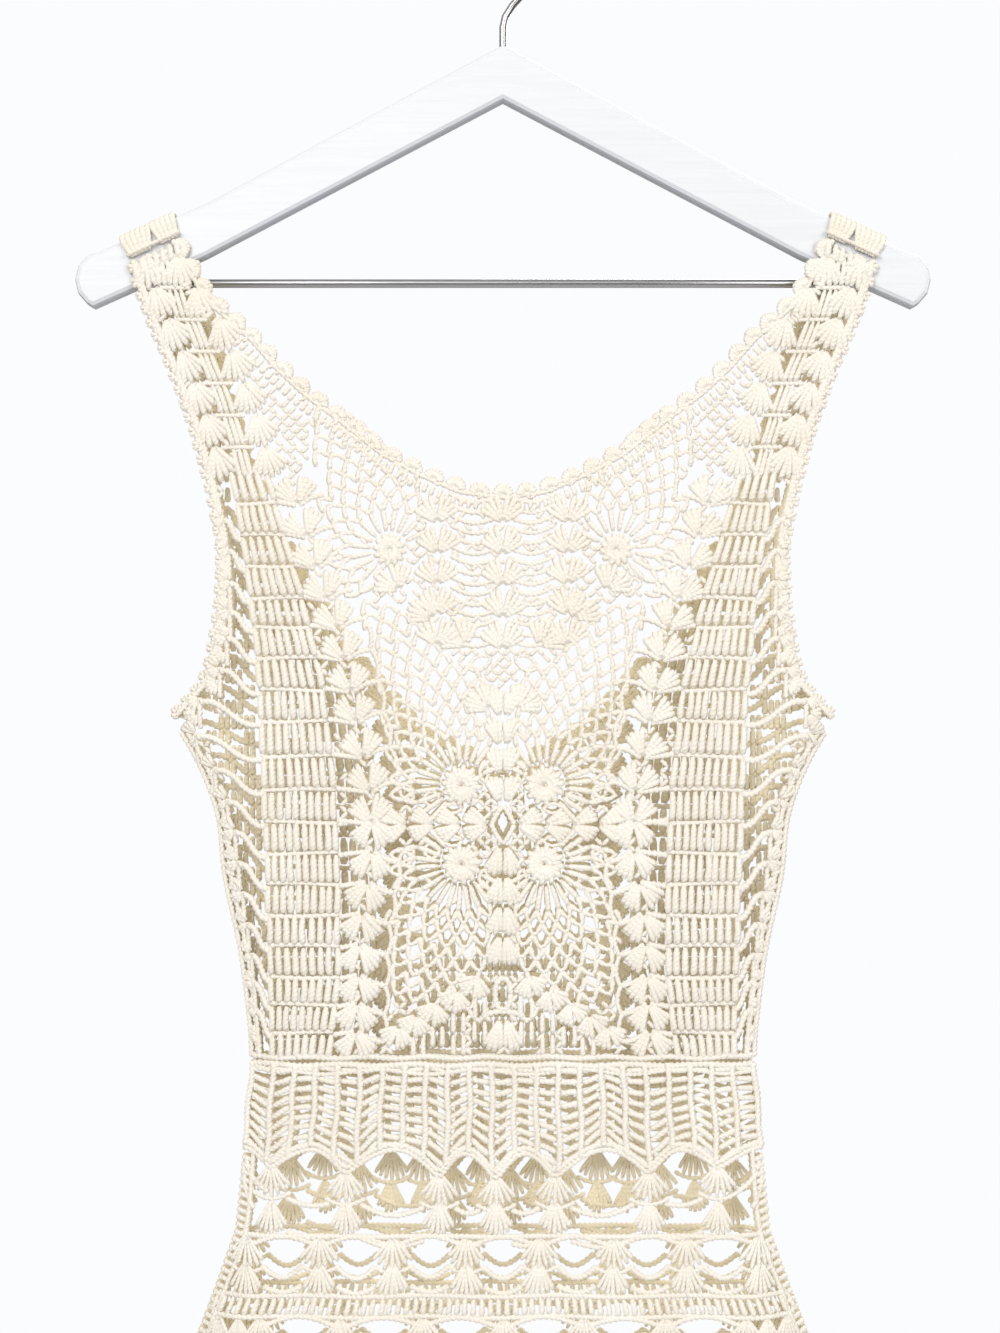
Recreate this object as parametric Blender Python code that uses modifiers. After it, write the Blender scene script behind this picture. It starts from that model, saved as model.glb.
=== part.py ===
"""A crochet mini dress hanging on a flat wooden hanger.

The origin is the hook's inner crown, +Z is up and -Y is the front.
"""

import math

import bpy
from mathutils import Vector
from mathutils.geometry import delaunay_2d_cdt

MM = 0.001
COLLECTION = "crochet_mini_dress_on_a_hanger"

# The dress is drafted flat, in mm: x from the centre line, t down from the strap's top.
T_TOP = 160.2  # drop from the hook's crown to t = 0
WALL = 2.0  # crocheted cloth
SEAM = 0.3  # space left between two joined pieces
HALF_SEAM = SEAM / 2
MESH_STEP = 30.0  # spacing of the points inside a panel
CLEAR = 6.0  # least distance from those points to an edge or a gap

# Half widths of the dress at each drop, right side.
ARMHOLE = ((195.9, 24.2), (190, 44), (184, 59), (174, 82), (164, 109), (155, 142), (149, 172),
           (150, 200), (154, 225), (158, 240), (166, 250), (175, 259))
SIDE = ((175, 259), (169, 269), (162, 281), (155, 296), (149, 316), (146, 345), (138, 382), (133, 421),
        (132, 440.7))
BAND_SIDE = ((132, 441), (134, 464), (136.5, 486))
WAIST_X = (-132, -122, -113, -103, -52, 0, 52, 103, 113, 122, 132)  # shared points of the waist seam
SKIRT_SIDE = ((137, 487), (141, 529), (152, 560), (168, 602), (182, 650), (192, 700), (203, 770),
              (213, 838))
HEM_HALF, HEM_SEAM = SKIRT_SIDE[-1]

# Necklines from the strap to the centre, right side.
FRONT_NECK = ((166.8, 9.7), (150, 40), (128, 59), (114, 75), (99, 89), (85, 99), (60, 119), (42, 129),
              (21, 138), (0, 141))
BACK_NECK = ((166.8, 9.7), (150, 55), (137, 107), (122, 145), (106, 179), (80, 221), (43, 263), (15, 279),
             (0, 282))
NECK_EDGING = 6.0
ARM_EDGING = 4.5
SHELL_PITCH = 12.0  # one shell of the neck edging
SHELL_RISE = 2.0

# Depth of the inner face of the front layer at each drop; the back layer mirrors it.
DEPTH = ((0, 6.6), (110, 6.6), (260, 8.0), (350, 8.5), (441, 7.0), (505, 8.0), (600, 15.0), (720, 19.0),
         (850, 21.0))
FOLD = ((0, 0.0), (486, 0.0), (560, 1.6), (700, 4.5), (850, 7.5))
FOLDS_ACROSS = 4.5
SIDE_EASE = 28.0  # the layers come together over this width at the side seam
JOIN_FROM, JOIN_TO = 196.0, 257.0  # drop where the layers start to close, and where they meet

# Lower edge of the waistband, left to right: points where a fan starts and arches between them.
BAND_POINTS = ((-120.6, 497), (-82, 500), (-33, 502), (-3.6, 503), (27, 502), (76, 500), (112, 497))
BAND_ARCHES = ((-99.3, 487), (-55.6, 487), (-19.8, 489), (11.4, 489), (54, 487), (92, 487))
BAND_END = 487.0

# Skirt lace: rows of rounded openings between the fans. The first row is x, t, width and height.
FIRST_ROW = ((-100, 505, 23, 19), (-57, 506, 34, 25), (-19, 507, 20, 19), (11.6, 507, 20, 19),
             (52, 506, 34, 25), (94, 505, 23, 19))
ROW_TOP, ROW_PITCH, ROWS = 545.0, 41.0, 7
PER_ROW = 7
PITCH_SHARE = 7.7
OPEN_W, OPEN_H = 0.6, 25.0

HEM_TOP = HEM_SEAM + SEAM
HEM_DROP, HEM_SHELLS, HEM_NOTCH = 11.7, 15, 3.2

# Bodice lace gaps, right side, in runs one crochet row apart: how many from which drop, front and back.
ROW = 16.4
SIDE_RUN = ((11, 264), (11, 264))
LADDER_RUN = ((14, 208), (13, 222))
COLUMN_RUN = ((12, 220), (7, 302))
STRAP_RUN, STRAP_ROW, STRAP_SHIFT = ((7, 36), (7, 36)), 17.0, 7
NET_FROM = 300  # single gaps above this drop are only in front
LADDER_IN = ((150, 117), (199, 103), (247, 93), (299, 87), (348, 85), (396, 85), (434, 90))
LADDER_OUT = ((262, 126), (299, 124), (348, 122), (396, 121), (434, 120))
SHELL_COL = ((150, 106), (199, 90), (242, 80), (270, 75), (304, 68), (334, 68), (368, 74), (399, 75),
             (434, 77))
# Single gaps round the middle: x and t of the centre, width and height.
CENTRE_GAPS = ((8.5, 166, 7, 9), (9, 184, 8, 10), (9.5, 203, 8, 10), (8.5, 222, 7, 9), (8.0, 241, 7, 9),
               (23, 156, 7, 8), (27, 178, 7, 9), (12.5, 279, 6, 9), (12.5, 356, 6, 9), (8, 391, 6, 8),
               (40, 317, 8, 7), (50, 300, 7, 7), (50, 334, 7, 7))
LEAST_EDGE = 1.6  # cloth left beside a gap
LEAST_WEB = 1.8  # cloth left between two gaps

# Hanger, x and z in mm.
ARM_LOWER = ((0, -99.3), (155, -181), (192, -197.6), (214, -207.4))
ARM_RISE = 29.0
ARM_THICK = 12.0
ARM_EDGE = 2.5
STRAP_IN, STRAP_OUT = (172.0, 166.8), (199.0, 195.9)
STRAP_SLOPE = 0.46
WIRE = 3.8
HOOK_R = 21.0
BAR_D, BAR_Z, BAR_HALF = 4.5, -194.3, 191.0
FIT = 0.35  # clearance round a bar or wire in its bore


def interp(table, x):
    """Straight-line value from rows of (key, value)."""
    if x <= table[0][0]:
        return table[0][1]
    for (x0, y0), (x1, y1) in zip(table, table[1:]):
        if x <= x1:
            return y0 + (y1 - y0) * (x - x0) / (x1 - x0)
    return table[-1][1]


WIDTH = [(t, w) for w, t in ARMHOLE] + [(t, w) for w, t in SIDE[1:] + BAND_SIDE + SKIRT_SIDE]


def depth(x, t):
    """How far the inner face of a layer stands from the side seam's plane."""
    closing = min(1.0, max(0.0, (t - JOIN_FROM) / (JOIN_TO - JOIN_FROM)))
    inside = min(1.0, max(0.0, (interp(WIDTH, t) - abs(x)) / SIDE_EASE))
    ease = 1 - closing * (1 - math.sin(inside * math.pi / 2))
    wave = math.cos(2 * math.pi * FOLDS_ACROSS * x / (2 * interp(WIDTH, t)) + 0.6)
    return HALF_SEAM + ease * (interp(DEPTH, t) + interp(FOLD, t) * wave)


def mirror(points):
    """A right-side line from the outside to the centre, run on to the left side."""
    return list(points) + [(-x, t) for x, t in reversed(points) if x > 0.01]


def offset(line, width, first=None, last=None):
    """The line moved to its right by a width; the ends slide along a given direction."""
    moved = []
    for i, (x, t) in enumerate(line):
        (x0, t0), (x1, t1) = line[max(i - 1, 0)], line[min(i + 1, len(line) - 1)]
        along = Vector((x1 - x0, t1 - t0)).normalized()
        side = Vector((along.y, -along.x))
        slide = first if i == 0 else last if i == len(line) - 1 else None
        step = side * width
        if slide:
            step = Vector(slide).normalized()
            step *= width / abs(step.dot(side))
        moved.append((x + step.x, t + step.y))
    return moved


def resample(line, pitch):
    """Points half a pitch apart along a line, both ends kept, an even number of steps."""
    lengths = [math.dist(a, b) for a, b in zip(line, line[1:])]
    count = 2 * round(sum(lengths) / pitch)
    out, done, i = [], 0.0, 0
    for k in range(count + 1):
        want = min(sum(lengths) * k / count, sum(lengths) - 1e-9)
        while want > done + lengths[i]:
            done += lengths[i]
            i += 1
        f = (want - done) / lengths[i]
        out.append(tuple(a + (b - a) * f for a, b in zip(line[i], line[i + 1])))
    return out


def inside(point, ring):
    """Whether a point lies in a closed ring."""
    x, t = point
    hit = False
    for (x0, t0), (x1, t1) in zip(ring, ring[1:] + ring[:1]):
        if (t0 > t) != (t1 > t) and x < x0 + (x1 - x0) * (t - t0) / (t1 - t0):
            hit = not hit
    return hit


def distance(point, ring):
    """Distance from a point to a closed ring."""
    p = Vector(point)
    best = 1e9
    for a, b in zip(ring, ring[1:] + ring[:1]):
        a, b = Vector(a), Vector(b)
        f = min(1.0, max(0.0, (p - a).dot(b - a) / max((b - a).length_squared, 1e-9)))
        best = min(best, (p - a - (b - a) * f).length)
    return best


def gap(x, t, width, height, sides=4):
    """A diamond or rounded opening."""
    turn = math.pi / 2 if sides == 4 else math.pi / sides
    angles = [turn + 2 * math.pi * k / sides for k in range(sides)]
    return [(x + width / 2 * math.cos(a), t + height / 2 * math.sin(a)) for a in angles]


def material(name, colour, roughness, metallic=0.0):
    mat = bpy.data.materials.new(name)
    mat.use_nodes = True
    shader = mat.node_tree.nodes["Principled BSDF"]
    shader.inputs["Base Color"].default_value = (*colour, 1)
    shader.inputs["Roughness"].default_value = roughness
    shader.inputs["Metallic"].default_value = metallic
    return mat


def add(name, mesh, mat):
    obj = bpy.data.objects.new(name, mesh)
    mesh.materials.append(mat)
    part.objects.link(obj)
    return obj


def solidify(obj, thickness, side=0.0):
    shell = obj.modifiers.new("wall", "SOLIDIFY")
    shell.thickness = thickness * MM
    shell.offset = side
    shell.use_even_offset = True


def panel(name, ring, gaps, front, mat):
    """A flat lace panel with its gaps cut, given its wall and then draped to the depth of its layer."""
    rings = [ring] + gaps
    points, edges = [], []
    for one in rings:
        start = len(points)
        points += one
        edges += [(start + i, start + (i + 1) % len(one)) for i in range(len(one))]
    xs, ts = [p[0] for p in ring], [p[1] for p in ring]
    for i in range(int((max(xs) - min(xs)) / MESH_STEP) + 1):
        for j in range(int((max(ts) - min(ts)) / MESH_STEP) + 1):
            spot = (min(xs) + MESH_STEP * (i + 0.5 + 0.25 * (j % 2)), min(ts) + MESH_STEP * (j + 0.5))
            in_cloth = inside(spot, ring) and not any(inside(spot, g) for g in gaps)
            if in_cloth and all(distance(spot, g) > CLEAR for g in rings):
                points.append(spot)
    flat, _, faces = delaunay_2d_cdt([Vector(p) for p in points], edges, [], 0, 1e-4)[:3]
    kept = []
    for face in faces:
        middle = sum((flat[i] for i in face), Vector((0, 0))) / len(face)
        if inside(middle, ring) and not any(inside(middle, g) for g in gaps):
            kept.append(list(face))
    used = sorted({i for face in kept for i in face})
    number = {old: new for new, old in enumerate(used)}
    mesh = bpy.data.meshes.new(name)
    mesh.from_pydata([(flat[i].x * MM, 0, -(T_TOP + flat[i].y) * MM) for i in used], [],
                     [[number[i] for i in (face if front else face[::-1])] for face in kept])
    if (mesh.polygons[0].normal.y < 0) != front:
        mesh.flip_normals()
    obj = add(name, mesh, mat)
    solidify(obj, WALL, 1.0)
    bpy.context.view_layer.update()
    solid = bpy.data.meshes.new_from_object(obj.evaluated_get(bpy.context.evaluated_depsgraph_get()))
    obj.modifiers.clear()
    obj.data = solid
    way = -1 if front else 1
    for v in solid.vertices:
        v.co.y += way * depth(v.co.x / MM, -v.co.z / MM - T_TOP) * MM
    return obj


def strip(name, outer, inner, front, mat):
    """A narrow edging between two lines."""
    return panel(name, list(outer) + list(reversed(inner)), [], front, mat)


def drops(run, front, row=ROW):
    """Drops of a run of gaps."""
    count, start = run[0 if front else 1]
    return [start + row * k for k in range(count)]


def bodice_gaps(neck, front, ring):
    """The lace gaps of one bodice layer, both sides."""
    right = []
    for t in drops(SIDE_RUN, front):  # chain loops beside the side columns
        out = interp([(s, w) for w, s in SIDE], t) - 11
        ladder = interp(LADDER_OUT, t)
        right.append((0.5 * (out + ladder) + 1, t, min(9.0, out - ladder + 6), 9.5))
    for t in drops(LADDER_RUN, front):  # gaps between the ladders and the shell columns
        right.append((interp(LADDER_IN, t) - 4.5, t, 5.2, 9.0))
    for t in drops(COLUMN_RUN, front):  # gaps between the shell columns and the net
        right.append((interp(SHELL_COL, t) - 11, t + 4, 5.2, 8.5))
    for k, t in enumerate(drops(STRAP_RUN, front, STRAP_ROW)):  # one side of a strap's posts, then the other
        middle = 0.5 * (interp(WIDTH, t) + interp([(s, w) for w, s in neck], t))
        right.append((middle + (STRAP_SHIFT if k % 2 else -STRAP_SHIFT), t, 5.0, 8.5))
    right += [g for g in CENTRE_GAPS if front or g[1] > NET_FROM]
    both = [gap(s * x, t, w, h) for x, t, w, h in right for s in (1, -1)]
    return [g for g in both if all(inside(p, ring) and distance(p, ring) > LEAST_EDGE for p in g)]


def thin_out(gaps):
    """Leaves out a gap that comes too near one already taken."""
    taken = []
    for one in gaps:
        near = [(p, other) for other in taken for p in one] + [(p, one) for other in taken for p in other]
        if all(distance(p, ring) > LEAST_WEB for p, ring in near):
            taken.append(one)
    return taken


def bodice(front):
    """One bodice layer with its neck and armhole edgings."""
    side, neck_line = ("front", FRONT_NECK) if front else ("back", BACK_NECK)
    top = (1, STRAP_SLOPE)
    neck = resample(mirror(neck_line), SHELL_PITCH)
    seam = offset(neck, NECK_EDGING, top, (-1, STRAP_SLOPE))
    seam_panel = offset(neck, NECK_EDGING + SEAM, top, (-1, STRAP_SLOPE))
    waves = offset(neck, SHELL_RISE)
    outer = [waves[i] if i % 2 else p for i, p in enumerate(neck)]
    strip(side + "_neck_edging", outer, seam[::2], front, yarn_edging)
    slope = (SIDE[1][0] - SIDE[0][0], SIDE[1][1] - SIDE[0][1])
    arm_line = list(reversed(ARMHOLE))
    arm_seam = offset(arm_line, ARM_EDGING, slope, (-1, -STRAP_SLOPE))
    arm_panel = offset(arm_line, ARM_EDGING + SEAM, slope, (-1, -STRAP_SLOPE))
    for s, hand in ((1, "right"), (-1, "left")):
        outer, inner = ([(s * x, t) for x, t in line] for line in (arm_line, arm_seam))
        strip(f"{side}_armhole_edging_{hand}", outer, inner, front, yarn_edging)
    right = list(reversed(arm_panel)) + list(SIDE[1:])
    waist = [(-x, SIDE[-1][1]) for x in WAIST_X[1:-1]]
    ring = right + waist + [(-x, t) for x, t in reversed(right)] + list(reversed(seam_panel[::2]))
    gaps = thin_out(bodice_gaps(neck_line, front, ring))
    panel(side + "_bodice", ring, gaps, front, yarn_lace)
    return len(gaps)


def band_edge():
    """The pointed seam between the waistband and the skirt, left to right."""
    end = BAND_SIDE[-1][0]
    return [(-end, BAND_END), *sorted(BAND_POINTS + BAND_ARCHES), (end, BAND_END)]


def across(count):
    """Places across the hem, right to left."""
    return [HEM_HALF - 2 * HEM_HALF * k / count for k in range(count + 1)]


def lower(front):
    """Waistband, skirt and hem edging of one layer."""
    side = "front" if front else "back"
    flip = 1 if front else -1
    edge = [(flip * x, t) for x, t in band_edge()]
    edge = edge if front else edge[::-1]
    below = [(x, t + SEAM * 1.6) for x, t in edge]
    top = [(x, BAND_SIDE[0][1]) for x in WAIST_X]
    ring = top + [BAND_SIDE[1]] + edge[::-1] + [(-BAND_SIDE[1][0], BAND_SIDE[1][1])]
    panel("waistband_" + side, ring, [], front, yarn_band)
    right = list(SKIRT_SIDE[1:-1])
    hem = [(x, HEM_SEAM) for x in across(HEM_SHELLS + 1)]
    ring = below + right + hem + [(-x, t) for x, t in reversed(right)]
    gaps = [gap(flip * x, t, w, h, 6) for x, t, w, h in FIRST_ROW]
    for r in range(ROWS):
        t = ROW_TOP + ROW_PITCH * r
        pitch = 2 * interp(WIDTH, t) / PITCH_SHARE
        count = PER_ROW - r % 2
        gaps += [gap((k - (count - 1) / 2) * pitch, t, OPEN_W * pitch, OPEN_H, 6) for k in range(count)]
    panel("skirt_" + side, ring, gaps, front, yarn_lace)
    low = HEM_TOP + HEM_DROP
    shells = [(x, low if k % 2 else low - HEM_NOTCH) for k, x in enumerate(across(2 * HEM_SHELLS))]
    upper = [(x, HEM_TOP) for x in across(HEM_SHELLS)]
    strip("hem_edging_" + side, shells, upper, front, yarn_edging)
    return len(gaps)


def strap(name, s):
    """The shoulder join: a short band bent over the arm of the hanger."""
    reach = ARM_THICK / 2 + 1.75
    front_half = [(-reach, 12.0), (-reach, 2.5), (-reach + 2.0, -1.6), (-2.6, -2.6)]
    profile = front_half + [(-y, drop) for y, drop in reversed(front_half)]
    columns = 4
    verts, faces = [], []
    for y, drop in profile:
        f = max(0.0, drop) / 12.0
        for c in range(columns + 1):
            inner = STRAP_IN[0] + (STRAP_IN[1] - STRAP_IN[0]) * f
            outer = STRAP_OUT[0] + (STRAP_OUT[1] - STRAP_OUT[0]) * f
            x = inner + (outer - inner) * c / columns
            verts.append((s * x * MM, y * MM, -(T_TOP + STRAP_SLOPE * (x - STRAP_IN[0]) + drop) * MM))
    row = columns + 1
    for i in range(len(profile) - 1):
        for c in range(columns):
            face = (i * row + c, i * row + c + 1, (i + 1) * row + c + 1, (i + 1) * row + c)
            faces.append(face if s > 0 else face[::-1])
    mesh = bpy.data.meshes.new(name)
    mesh.from_pydata(verts, [], faces)
    solidify(add(name, mesh, yarn_edging), WALL)


def cutter(name, start, end, diameter):
    """A round bar used to bore a hole."""
    start, end = Vector(start) * MM, Vector(end) * MM
    length, middle = (end - start).length, (start + end) / 2
    bpy.ops.mesh.primitive_cylinder_add(vertices=16, radius=diameter / 2 * MM, depth=length, location=middle)
    obj = bpy.context.object
    obj.name = name
    obj.rotation_euler = (end - start).to_track_quat("Z", "Y").to_euler()
    for old in obj.users_collection:
        old.objects.unlink(obj)
    cutters.objects.link(obj)
    obj.display_type = "WIRE"
    obj.hide_render = True
    return obj


def wire(name, points, diameter, mat):
    """A round wire along straight pieces short enough to look bent."""
    curve = bpy.data.curves.new(name, "CURVE")
    curve.dimensions = "3D"
    curve.bevel_depth = diameter / 2 * MM
    curve.bevel_resolution = 2
    curve.use_fill_caps = True
    spline = curve.splines.new("POLY")
    spline.points.add(len(points) - 1)
    for point, (x, z) in zip(spline.points, points):
        point.co = (x * MM, 0, z * MM, 1)
    curve.materials.append(mat)
    obj = bpy.data.objects.new(name, curve)
    part.objects.link(obj)


def hanger():
    """Painted arms with rounded tips, the trouser bar and the hook."""
    tip_x, tip_z = ARM_LOWER[-1]
    turns = [math.radians(d) for d in range(30, 180, 30)]
    tip = [(tip_x + 12.5 * math.sin(a) - 3, tip_z + ARM_RISE / 2 * (1 - math.cos(a))) for a in turns]
    upper = [(x * 0.985, z + ARM_RISE) for x, z in reversed(ARM_LOWER)]
    right = list(ARM_LOWER) + tip + upper[:-1]
    ring = right + [(0, ARM_LOWER[0][1] + ARM_RISE)] + [(-x, z) for x, z in reversed(right) if x > 0]
    mesh = bpy.data.meshes.new("hanger_arms")
    mesh.from_pydata([(x * MM, 0, z * MM) for x, z in ring], [], [list(range(len(ring)))])
    arms = add("hanger_arms", mesh, paint)
    solidify(arms, ARM_THICK)
    round_edge = arms.modifiers.new("edge", "BEVEL")
    round_edge.width = ARM_EDGE * MM
    round_edge.segments = 2
    round_edge.limit_method = "ANGLE"
    round_edge.angle_limit = math.radians(60)
    neck = (0, 0, ARM_LOWER[0][1] + ARM_RISE)
    bores = (cutter("bar_bore", (-BAR_HALF - FIT, 0, BAR_Z), (BAR_HALF + FIT, 0, BAR_Z), BAR_D + 2 * FIT),
             cutter("hook_bore", (0, 0, neck[2] - 12), (0, 0, neck[2] + 6), WIRE + 2 * FIT))
    for bore in bores:
        cut = arms.modifiers.new(bore.name, "BOOLEAN")
        cut.operation = "DIFFERENCE"
        cut.solver = "EXACT"
        cut.object = bore
    wire("hanger_bar", [(-BAR_HALF, BAR_Z), (BAR_HALF, BAR_Z)], BAR_D, bar_steel)
    radius = HOOK_R + WIRE / 2
    turns = [math.radians(d) for d in range(-36, 205, 12)]
    bend = [(radius * math.cos(a), -HOOK_R + radius * math.sin(a)) for a in turns]
    shank = [(0, neck[2] - 11.5), (0, -60), (1.2, -54.5), (5.0, -48.5), (10.5, -42.5), (15.0, -38.0)]
    wire("hanger_hook", shank + bend, WIRE, hook_steel)


for old in list(bpy.data.objects):
    bpy.data.objects.remove(old)
part = bpy.data.collections.new(COLLECTION)
cutters = bpy.data.collections.new("cutters")
for group in (part, cutters):
    bpy.context.scene.collection.children.link(group)
cutters.hide_render = True

yarn_lace = material("cotton_yarn_lace", (0.87, 0.81, 0.68), 0.9)
yarn_edging = material("cotton_yarn_edging", (0.9, 0.85, 0.73), 0.9)
yarn_band = material("cotton_yarn_band", (0.88, 0.82, 0.7), 0.9)
paint = material("white_painted_wood", (0.85, 0.85, 0.85), 0.4)
bar_steel = material("brushed_steel", (0.6, 0.6, 0.6), 0.3, 1.0)
hook_steel = material("plated_steel_wire", (0.7, 0.7, 0.7), 0.2, 1.0)

counts = [bodice(True), bodice(False), lower(True), lower(False)]
print("gaps cut", counts, sum(counts))
strap("strap_right", 1)
strap("strap_left", -1)
hanger()
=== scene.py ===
"""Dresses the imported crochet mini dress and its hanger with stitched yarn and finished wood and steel."""

import math

import bpy
import numpy as np
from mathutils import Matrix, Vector


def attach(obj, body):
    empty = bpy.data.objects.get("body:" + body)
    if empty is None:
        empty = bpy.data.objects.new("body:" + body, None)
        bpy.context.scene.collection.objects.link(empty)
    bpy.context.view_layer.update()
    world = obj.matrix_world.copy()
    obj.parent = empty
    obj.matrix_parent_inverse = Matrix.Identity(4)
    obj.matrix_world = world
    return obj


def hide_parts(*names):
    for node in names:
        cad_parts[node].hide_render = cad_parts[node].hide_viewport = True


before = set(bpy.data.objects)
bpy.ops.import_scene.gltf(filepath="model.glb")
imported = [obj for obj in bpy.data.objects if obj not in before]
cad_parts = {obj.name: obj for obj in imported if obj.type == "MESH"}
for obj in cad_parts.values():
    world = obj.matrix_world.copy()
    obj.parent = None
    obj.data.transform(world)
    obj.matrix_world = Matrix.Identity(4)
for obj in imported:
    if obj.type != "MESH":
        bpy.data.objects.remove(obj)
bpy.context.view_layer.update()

bl_info = {
    "name": "Crochet mini dress",
    "version": (1, 0, 0),
    "blender": (4, 5, 0),
    "location": "3D View > Sidebar > Crochet",
    "description": "Works a crochet mini dress stitch by stitch on its hanger",
    "category": "Add Mesh",
}

MM = 0.001
UP, DOWN, RIGHT, LEFT = -90.0, 90.0, 0.0, 180.0  # working directions on the chart, degrees

LAYERS = (("front", True), ("back", False))
HANDS = ((1, "right"), (-1, "left"))  # sides seen from the front

# The photo's scale and frame, which place the camera.
MM_PER_PIXEL = 0.52
PHOTO_HIGH = 1333
ROWS_OVER_PHOTO = 93  # from the mount down to the photo's top row
PHOTO_MIDDLE_X = -1.5  # mm from the dress's centre line to the photo's middle column
FRONT_DEPTH = 0.009  # m before the seams' plane, about where the front hangs and the scale holds
FLOOR_Z, FLOOR_RADIUS = -1.25, 1.5

# The chart is flat, in mm: x from the centre line, t down from the strap's top. These drafts match the solids.
T_TOP = 160.2
HALF_SEAM = 0.15
CHART_HIGH, CHART_WIDE = 900, 480
CHART_MIDDLE = CHART_WIDE // 2
ARMHOLE = ((195.9, 24.2), (190, 44), (184, 59), (174, 82), (164, 109), (155, 142), (149, 172),
           (150, 200), (154, 225), (158, 240), (166, 250), (175, 259))
SIDE = ((175, 259), (169, 269), (162, 281), (155, 296), (149, 316), (146, 345), (138, 382), (133, 421),
        (132, 440.7))
BAND_SIDE = ((132, 441), (134, 464), (136.5, 486))
SKIRT_SIDE = ((137, 487), (141, 529), (152, 560), (168, 602), (182, 650), (192, 700), (203, 770), (213, 838))
WIDTH_X, WIDTH_T = zip(*(ARMHOLE + SIDE[1:] + BAND_SIDE + SKIRT_SIDE))  # half the width, by height
FRONT_NECK = ((166.8, 9.7), (150, 40), (128, 59), (114, 75), (99, 89), (85, 99), (60, 119), (42, 129), (21, 138),
              (0, 141))
BACK_NECK = ((166.8, 9.7), (150, 55), (137, 107), (122, 145), (106, 179), (80, 221), (43, 263), (15, 279), (0, 282))

# How far a layer stands from the side seam's plane, and how far its folds swing, as (t, mm) rows.
DEPTH = ((0, 6.6), (110, 6.6), (260, 8.0), (350, 8.5), (441, 7.0), (505, 8.0), (600, 15.0), (720, 19.0), (850, 21.0))
FOLD = ((0, 0.0), (486, 0.0), (560, 1.6), (700, 4.5), (850, 7.5))
FOLDS_ACROSS = 4.5  # waves from side to side
SIDE_EASE = 28.0  # mm from the side over which the layers come together
JOIN_FROM, JOIN_TO = 196.0, 257.0  # t where they start to come together beside the armhole, and where they have

# The waistband's lower edge: its points, and the tops of the arches between them.
BAND_POINTS = ((-120.6, 497), (-82, 500), (-33, 502), (-3.6, 503), (27, 502), (76, 500), (112, 497))
BAND_ARCHES = ((-99.3, 487), (-55.6, 487), (-19.8, 489), (11.4, 489), (54, 487), (92, 487))

# Ladder panels: row boundaries, and the inner and outer edge of the panel at some of them.
ROWS_T = (132.6, 149.8, 166.4, 182.5, 199.2, 214.2, 230.4, 247.0, 263.1, 281.3, 299.0, 315.6, 331.8,
          347.9, 364.0, 380.1, 396.2, 410.8, 425.4, 439.5)
LADDER_IN = ((120, 128), (150, 119), (199, 105), (247, 94), (299, 88), (348, 86), (396, 86), (440, 91))
LADDER_OUT = ((120, 144), (150, 138), (199, 131), (247, 126), (299, 124), (348, 122), (396, 121), (440, 120))
SHELL_COLUMN = ((120, 113), (150, 107), (199, 92), (215, 86), (242, 80), (270, 75), (304, 68), (334, 68),
                (368, 74), (399, 75), (434, 77))
CENTRE_T = 317.0
STRAP_SLOPE, JOIN_HIGH = 0.46, 12.0  # the arm's slope under a strap, and how far a shoulder join reaches down
ENAMEL_SHADE = "#B4B9C0"
RIDGE_PITCH = 0.0024  # m along the yarn from one ply's ridge to the next
WIDER = 1.1  # a strand lies this much wider than it is drafted, as it is pressed flat

# Openings round the middle of the bodice, right side: x, t, width, height and lean in degrees.
CENTRE_EYELETS = (
    (9.7, 289.5, 3.0, 9.0, 0), (26, 308.5, 8.0, 3.5, 0), (26, 325.5, 8.0, 3.5, 0), (37, 303.5, 6.5, 6.5, 0),
    (37, 330.5, 6.5, 6.5, 0), (64, 317, 5.0, 6.0, 0), (10, 345, 3.0, 8.0, 0), (11.5, 267, 4.5, 7.5, -20),
    (16, 254, 5.5, 9.0, -25), (12, 233, 5.5, 11.0, -62), (22, 213, 4.0, 8.0, -60), (50, 300, 5.0, 8.5, 35),
    (50, 334, 5.0, 8.5, -35),
)
SKIRT_ROWS, FIRST_ROW_T, ROW_PITCH = 8, 545.0, 41.0
STAIRS = ((13, 404), (24, 411), (35, 418), (45, 424), (54, 430))  # shells that step down to the waistband


def linear(code):
    """A linear colour from an sRGB hex code."""
    parts = [int(code[i:i + 2], 16) / 255 for i in (1, 3, 5)]
    return tuple(c / 12.92 if c <= 0.04045 else ((c + 0.055) / 1.055) ** 2.4 for c in parts)


def at(table, key):
    """Value of a table of (key, value) rows at a key."""
    return float(np.interp(key, *zip(*table)))


def at_drop(table, t):
    """x of a line given as (x, t) rows."""
    xs, ts = zip(*table)
    return float(np.interp(t, ts, xs))


def half_width(t):
    """Half the width of the dress at a height."""
    return np.interp(t, WIDTH_T, WIDTH_X)


def cloth_depth(x, t):
    """How far the inner face of a layer stands from the side seam's plane, in mm."""
    width = half_width(t)
    closing = np.clip((t - JOIN_FROM) / (JOIN_TO - JOIN_FROM), 0, 1)
    inside = np.clip((width - np.abs(x)) / SIDE_EASE, 0, 1)
    ease = 1 - closing * (1 - np.sin(inside * math.pi / 2))
    wave = np.cos(math.pi * FOLDS_ACROSS * x / width + 0.6)
    depth, fold = (np.interp(t, *zip(*table)) for table in (DEPTH, FOLD))
    return HALF_SEAM + ease * (depth + fold * wave)


def turn(angle):
    """The way that an angle in degrees points to on the chart."""
    return np.array((math.cos(math.radians(angle)), math.sin(math.radians(angle))))


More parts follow.
